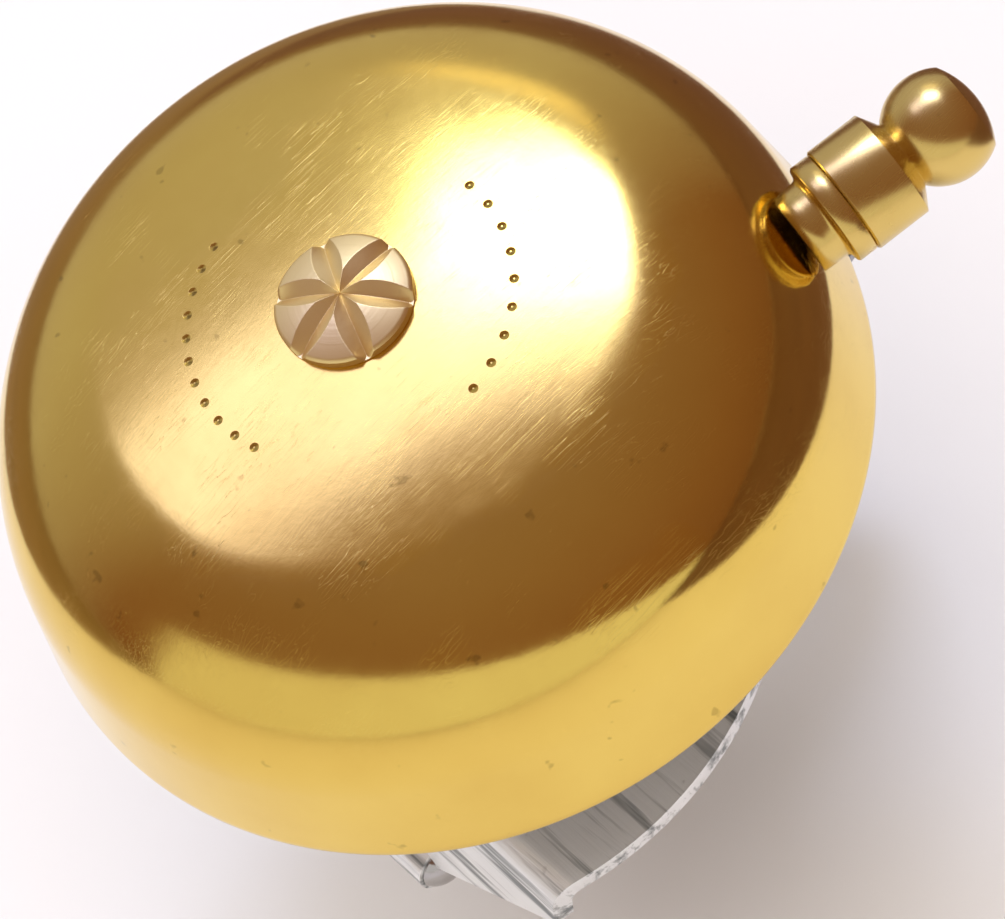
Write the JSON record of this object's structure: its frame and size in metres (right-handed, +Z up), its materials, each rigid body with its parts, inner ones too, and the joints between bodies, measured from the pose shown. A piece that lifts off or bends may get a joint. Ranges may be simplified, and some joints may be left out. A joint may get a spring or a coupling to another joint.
{
  "type": "bicycle bell",
  "caption": "Small brass handlebar bell struck by a sprung finger knob, on a pressed bracket with a hinged screw clamp.",
  "frame": {"origin": "centre of the handlebar, straight under the bell's post", "axes": "+Z up through the bell's crown, +Y along the handlebar, +X towards the striker and the clamp screw"},
  "size_m": [0.0629, 0.055, 0.0582],
  "materials": {
    "bell_brass": "polished, fine swirls",
    "screw_brass": "polished",
    "striker_brass": "satin turned",
    "bush_nylon": "matt",
    "zinc": "zinc plated",
    "spring_steel": "blued grey",
    "post_steel": "turned",
    "bracket_chrome": "bright plated",
    "rivet_steel": "plated",
    "pad_rubber": "matt",
    "pin_chrome": "bright plated",
    "screw_chrome": "bright plated"
  },
  "bodies": {
    "base": {"bell_dome": "bell_brass", "dome_screw": "screw_brass", "dome_bush": "bush_nylon", "post_washer": "zinc", "spring_washer": "spring_steel", "centre_post": "post_steel", "base_bracket": "bracket_chrome", "arm_rivets": "rivet_steel", "arm_backing_plate": "zinc", "spring_arm": "spring_steel", "saddle_pad": "pad_rubber", "hinge_pin": "pin_chrome", "clamp_nut": "screw_chrome", "lock_washer": "spring_steel"},
    "striker": {"striker_head": "striker_brass", "striker_knob": "striker_brass"},
    "band": {"clamp_band": "bracket_chrome", "band_liner": "pad_rubber"},
    "screw_washer": {"clamp_washer": "zinc"},
    "clamp_screw": {"clamp_screw": "screw_chrome"}
  },
  "joints": [
    {"name": "striker_flex", "type": "hinge", "parent": "base", "child": "striker", "pos_m": [0.01473, -0.00574, 0.0144], "axis": [0.1736, 0.9848, 0], "range_deg": [-0.8, 14], "stiffness_Nm_per_rad": 0.25, "deforming": ["spring_arm"]},
    {"name": "band_open", "type": "hinge", "parent": "base", "child": "band", "pos_m": [-0.0174, 0, 0], "axis": [0, 1, 0], "range_deg": [0, 3.75]},
    {"name": "washer_slide", "type": "slide", "parent": "base", "child": "screw_washer", "axis": [0, 0, -1], "range_m": [0, 0.0029]},
    {"name": "clamp_screw_turn", "type": "hinge", "parent": "screw_washer", "child": "clamp_screw", "pos_m": [0.021, 0, 0], "axis": [0, 0, -1], "range_deg": [0, 1500]}
  ],
  "couplings": [
    {"joint": "clamp_screw_turn", "follows": "washer_slide", "rad_per_m": 8976},
    {"joint": "band_open", "follows": "washer_slide", "rad_per_m": 22.5}
  ]
}
